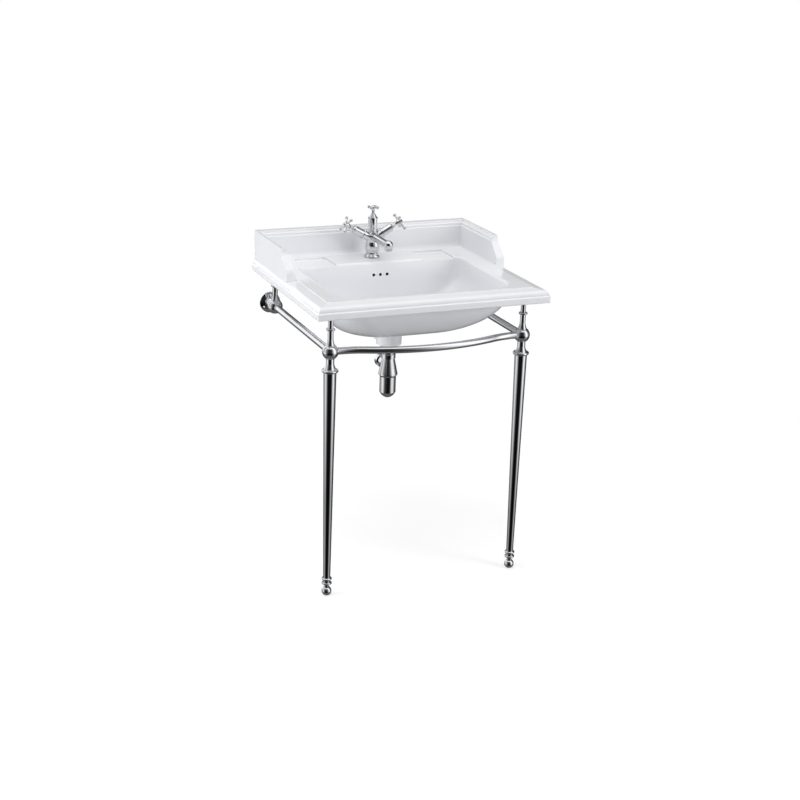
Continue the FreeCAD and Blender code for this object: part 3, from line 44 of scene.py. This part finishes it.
# Where one part of that studio gives way to the next: the upward share of a direction, -1 to 1
LOW_DIMS, LOW_TO_EYE = (-0.30, -0.40), (-0.22, -0.06)
EYE_TO_OVERHEAD, LOW_TO_UNDERFOOT = (0.70, 0.88), (-0.55, -0.80)
BLACK = (0.0, 0.0, 0.0, 1.0)
WHITE = (1.0, 1.0, 1.0, 1.0)

# Places on the basin, in metres: where the bare wall side begins, and the box around the overflow duct,
# inside which the china is painted near black as shade
BARE_FROM = 0.2797
DUCT_ACROSS, DUCT_ALONG, DUCT_UP = (-0.0262, 0.0262), (0.1255, 0.1486), (0.7150, 0.7925)

# The floor: half its side and the distances of its fade to white in metres, and its lift for the camera
FLOOR_REACH, FLOOR_FADE, FLOOR_LIFT = 30.0, (1.0, 2.0), 0.50

# Soft boxes: name, place and aim, width and height in metres, and watts
LAMPS = (("top_box", (-0.5, -0.5, 3.2), (0, 0, 0.6), (2.6, 2.6), 41),
         ("right_box", (2.6, -2.8, 1.6), (0, 0, 0.6), (1.2, 2.2), 53),
         ("left_box", (-2.4, 0.1, 0.75), (0, 0, 0.75), (1.2, 0.9), 29),
         ("rear_box", (0.4, 1.6, 2.6), (0, 0, 0.6), (1.6, 1.6), 8))


class Graph:
    """A node tree with short calls: inputs given by name are set, or linked where they are sockets."""

    def __init__(self, tree):
        self.tree = tree
        tree.nodes.clear()

    def add(self, kind, inputs=None, **settings):
        node = self.tree.nodes.new(kind)
        for name, value in settings.items():
            setattr(node, name, value)
        for name, value in (inputs or {}).items():
            self.put(node.inputs[name], value)
        return node

    def put(self, socket, value):
        if isinstance(value, bpy.types.NodeSocket):
            self.tree.links.new(value, socket)
        else:
            socket.default_value = value

    def math(self, operation, first, second=0.0, clamp=False):
        node = self.add("ShaderNodeMath", {0: first, 1: second}, operation=operation, use_clamp=clamp)
        return node.outputs[0]

    def ramp(self, factor, stops):
        """A colour ramp through (position, colour) stops."""
        node = self.add("ShaderNodeValToRGB", {"Fac": factor})
        ends = node.color_ramp.elements
        while len(ends) < len(stops):
            ends.new(0.5)
        for element, (position, colour) in zip(ends, stops):
            element.position = position
            element.color = (*colour, 1.0)
        return node.outputs["Color"]

    def level(self, factor, low, high):
        """The factor's 0 to 1 spread over low to high."""
        node = self.add("ShaderNodeMapRange", {"Value": factor, "To Min": low, "To Max": high})
        return node.outputs["Result"]

    def noise(self, where, scale, detail=2.0, roughness=0.5):
        node = self.add("ShaderNodeTexNoise", {"Vector": where, "Scale": scale, "Detail": detail,
                                               "Roughness": roughness})
        return node.outputs["Fac"]

    def mix(self, factor, first, second):
        node = self.add("ShaderNodeMix", data_type="RGBA")
        for name, value in (("Factor", factor), ("A", first), ("B", second)):
            self.put(node.inputs[name], value)
        return node.outputs["Result"]

    def every(self, first, *tests):
        """1 where all the tests are 1."""
        for test in tests:
            first = self.math("MULTIPLY", first, test)
        return first

    def between(self, value, low, high):
        """1 where the value lies between low and high."""
        return self.every(self.math("GREATER_THAN", value, low), self.math("LESS_THAN", value, high))

    def rise(self, value, low, high):
        """0 below low, 1 above high."""
        node = self.add("ShaderNodeMapRange", {"Value": value, "From Min": low, "From Max": high})
        return node.outputs["Result"]

    def bump(self, height, strength, distance, under=None):
        inputs = {"Height": height, "Strength": strength, "Distance": distance}
        if under is not None:
            inputs["Normal"] = under
        return self.add("ShaderNodeBump", inputs).outputs["Normal"]


def surface(name, build):
    """A material whose build(graph, where) gives the inputs of its shader."""
    material = bpy.data.materials.new(name)
    material.use_nodes = True
    graph = Graph(material.node_tree)
    where = graph.add("ShaderNodeTexCoord").outputs["Object"]
    shader = graph.add("ShaderNodeBsdfPrincipled", build(graph, where))
    graph.add("ShaderNodeOutputMaterial", {"Surface": shader.outputs["BSDF"]})
    return material


def china(graph, where):
    """Glazed white china: slow tone changes, a faint ripple, bare clay at the wall, and painted shade, near
    black, inside the duct.
    """
    x, y, z = graph.add("ShaderNodeSeparateXYZ", {"Vector": where}).outputs
    bare = graph.math("GREATER_THAN", y, BARE_FROM)
    duct_painted_shade = graph.every(graph.between(x, *DUCT_ACROSS), graph.between(y, *DUCT_ALONG),
                           graph.between(z, *DUCT_UP))
    cloud = graph.noise(where, 7.0, 3.0)
    glaze = graph.ramp(cloud, [(0.3, (0.793, 0.801, 0.829)), (0.7, (0.822, 0.828, 0.852))])
    grain = graph.noise(where, 900.0, 4.0)
    clay = graph.ramp(grain, [(0.35, (0.66, 0.63, 0.58)), (0.65, (0.74, 0.71, 0.66))])
    smear = graph.level(graph.noise(where, 22.0, 4.0), 0.07, 0.15)
    rough = graph.math("MAXIMUM", smear, graph.math("MULTIPLY", bare, 0.8))
    ripple = graph.bump(graph.noise(where, 34.0, 2.0), 0.05, 0.0010)
    fine = graph.bump(grain, 0.02, 0.0002, ripple)
    # Painted shade: inside the duct box the china is coloured near black, standing in for the shade in the
    # holes
    colour = graph.mix(duct_painted_shade, graph.mix(bare, glaze, clay), (0.05, 0.05, 0.05, 1.0))
    return {"Base Color": colour, "Roughness": rough, "Normal": fine, "IOR": 1.5,
            "Specular IOR Level": 0.3, "Coat Weight": 0.06, "Coat Roughness": 0.03}


def chrome(graph, where):
    """Polished plate: a bluish tone that drifts a little, and haze from fine wiping marks."""
    cloud = graph.noise(where, 16.0, 3.0)
    colour = graph.ramp(cloud, [(0.3, (0.63, 0.64, 0.655)), (0.7, (0.69, 0.695, 0.705))])
    wipe = graph.noise(where, 420.0, 5.0, 0.7)
    rough = graph.level(wipe, 0.02, 0.06)
    swell = graph.bump(graph.noise(where, 60.0, 2.0), 0.03, 0.0004)
    return {"Base Color": colour, "Metallic": 1.0, "Roughness": rough, "Normal": swell}


def brass(graph, where):
    """Machined brass with tool rings, browned in patches."""
    tarnish = graph.noise(where, 55.0, 5.0, 0.6)
    colour = graph.ramp(tarnish, [(0.3, (0.50, 0.33, 0.13)), (0.65, (0.78, 0.58, 0.26))])
    rings = graph.add("ShaderNodeTexWave", {"Vector": where, "Scale": 420.0, "Distortion": 0.4},
                      bands_direction="Z").outputs["Fac"]
    return {"Base Color": colour, "Metallic": 1.0, "Roughness": graph.level(tarnish, 0.38, 0.22),
            "Normal": graph.bump(rings, 0.25, 0.0003)}


def rubber(graph, where):
    """Black rubber with a bloom and a fine grain."""
    bloom = graph.noise(where, 90.0, 4.0)
    colour = graph.ramp(bloom, [(0.3, (0.018, 0.018, 0.019)), (0.75, (0.055, 0.055, 0.056))])
    grain = graph.noise(where, 1600.0, 2.0)
    return {"Base Color": colour, "Roughness": graph.level(bloom, 0.55, 0.8),
            "Normal": graph.bump(grain, 0.3, 0.0002)}


def plastic(graph, where):
    """Grey moulded plastic of the flow insert, with a fine mesh pattern."""
    tone = graph.noise(where, 130.0, 3.0)
    colour = graph.ramp(tone, [(0.3, (0.42, 0.43, 0.44)), (0.7, (0.58, 0.59, 0.60))])
    cells = graph.add("ShaderNodeTexVoronoi", {"Vector": where, "Scale": 900.0}).outputs["Distance"]
    return {"Base Color": colour, "Roughness": graph.level(tone, 0.35, 0.5),
            "Normal": graph.bump(cells, 0.5, 0.0004)}


def paint_nodes():
    builders = {"china": china, "chrome": chrome, "brass": brass, "rubber": rubber, "plastic": plastic}
    made = {slot: surface(slot, build) for slot, build in builders.items()}
    for name, node in NODES.items():
        node.data.materials.clear()
        node.data.materials.append(made[SLOT_OF[name]])


def make_world():
    """White to the camera, even to the china; to polished metal a studio with side boxes and dark ends."""
    world = bpy.data.worlds.new("studio")
    bpy.context.scene.world = world
    world.use_nodes = True
    graph = Graph(world.node_tree)
    way = graph.add("ShaderNodeTexCoord").outputs["Generated"]
    turn = math.radians(VIEW_TURN)
    ahead = (-math.sin(turn), -math.cos(turn), 0.0)
    aside = (math.cos(turn), -math.sin(turn), 0.0)
    parts = [graph.add("ShaderNodeVectorMath", {0: way, 1: axis}, operation="DOT_PRODUCT").outputs["Value"]
             for axis in (aside, ahead)]
    angle = graph.math("ARCTAN2", *parts)
    place = graph.rise(angle, -math.pi, math.pi)
    low, eye = (graph.ramp(place, [(degrees / 360 + 0.5, (level, level, level * 1.01))
                                   for degrees, level in bands]) for bands in (LOW_BANDS, EYE_BANDS))
    height = graph.add("ShaderNodeSeparateXYZ", {"Vector": way}).outputs["Z"]
    dimming = graph.math("MULTIPLY", graph.rise(height, *LOW_DIMS), LOW_DIMMING)
    walls = graph.mix(graph.rise(height, *LOW_TO_EYE), graph.mix(dimming, low, BLACK), eye)
    above, below = ((level, level, level, 1.0) for level in (OVERHEAD, UNDERFOOT))
    roofed = graph.mix(graph.rise(height, *EYE_TO_OVERHEAD), walls, above)
    around = graph.mix(graph.rise(height, *LOW_TO_UNDERFOOT), roofed, below)
    mirror = graph.add("ShaderNodeBackground", {"Color": around, "Strength": 1.0})
    soft = graph.add("ShaderNodeBackground", {"Color": WHITE, "Strength": SOFT_LEVEL})
    white = graph.add("ShaderNodeBackground", {"Color": WHITE, "Strength": 1.0})
    rays = graph.add("ShaderNodeLightPath").outputs
    lit = graph.add("ShaderNodeMixShader", {0: rays["Is Glossy Ray"], 1: soft.outputs[0],
                                            2: mirror.outputs[0]})
    seen = graph.add("ShaderNodeMixShader", {0: rays["Is Camera Ray"], 1: lit.outputs[0],
                                             2: white.outputs[0]})
    graph.add("ShaderNodeOutputWorld", {"Surface": seen.outputs[0]})


def make_floor():
    """A pale floor that keeps a soft shadow and runs out to white."""
    mesh = bpy.data.meshes.new("floor")
    corners = [(x * FLOOR_REACH, y * FLOOR_REACH, 0) for x, y in ((-1, -1), (1, -1), (1, 1), (-1, 1))]
    mesh.from_pydata(corners, [], [(0, 1, 2, 3)])
    floor = bpy.data.objects.new("floor", mesh)
    bpy.context.scene.collection.objects.link(floor)
    material = bpy.data.materials.new("floor")
    material.use_nodes = True
    graph = Graph(material.node_tree)
    where = graph.add("ShaderNodeTexCoord").outputs["Object"]
    tone = graph.ramp(graph.noise(where, 5.0, 3.0), [(0.3, (0.60, 0.60, 0.605)), (0.7, (0.62, 0.62, 0.62))])
    paint = graph.add("ShaderNodeBsdfDiffuse", {"Color": tone})
    ray = graph.add("ShaderNodeLightPath").outputs["Is Camera Ray"]
    lift = graph.add("ShaderNodeEmission", {"Color": WHITE,
                                            "Strength": graph.math("MULTIPLY", ray, FLOOR_LIFT)})
    near = graph.add("ShaderNodeAddShader", {0: paint.outputs[0], 1: lift.outputs[0]})
    away = graph.add("ShaderNodeVectorMath", {0: where}, operation="LENGTH").outputs["Value"]
    far = graph.add("ShaderNodeEmission", {"Color": WHITE, "Strength": 1.0})
    faded = graph.math("MULTIPLY", graph.rise(away, *FLOOR_FADE), ray)
    both = graph.add("ShaderNodeMixShader", {0: faded, 1: near.outputs[0], 2: far.outputs[0]})
    graph.add("ShaderNodeOutputMaterial", {"Surface": both.outputs[0]})
    mesh.materials.append(material)
    floor.visible_glossy = False


def make_light(name, place, aim, size, watts):
    data = bpy.data.lights.new(name, "AREA")
    data.shape = "RECTANGLE"
    data.size, data.size_y = size
    data.energy = watts
    light = bpy.data.objects.new(name, data)
    light.location = place
    light.rotation_euler = (Vector(aim) - Vector(place)).to_track_quat("-Z", "Y").to_euler()
    light.visible_glossy = False
    bpy.context.scene.collection.objects.link(light)


def make_camera():
    turn, rise, roll = (math.radians(angle) for angle in (VIEW_TURN, VIEW_RISE, VIEW_ROLL))
    back = Vector((-math.sin(turn) * math.cos(rise), -math.cos(turn) * math.cos(rise), math.sin(rise)))
    right = Vector((math.cos(turn), -math.sin(turn), 0.0))
    up = back.cross(right)
    across = right * math.cos(roll) + up * math.sin(roll)
    upward = up * math.cos(roll) - right * math.sin(roll)
    data = bpy.data.cameras.new("camera")
    data.sensor_width = SENSOR
    data.lens = FOCAL_PIXELS / PICTURE_PIXELS * SENSOR
    camera = bpy.data.objects.new("camera", data)
    camera.matrix_world = Matrix.Translation(VIEW_TARGET + back * VIEW_DISTANCE) @ Matrix(
        (across, upward, back)).transposed().to_4x4()
    bpy.context.scene.collection.objects.link(camera)
    bpy.context.scene.camera = camera


bpy.context.scene.view_settings.view_transform = "Standard"
paint_nodes()
make_world()
make_floor()
for lamp in LAMPS:
    make_light(*lamp)
make_camera()
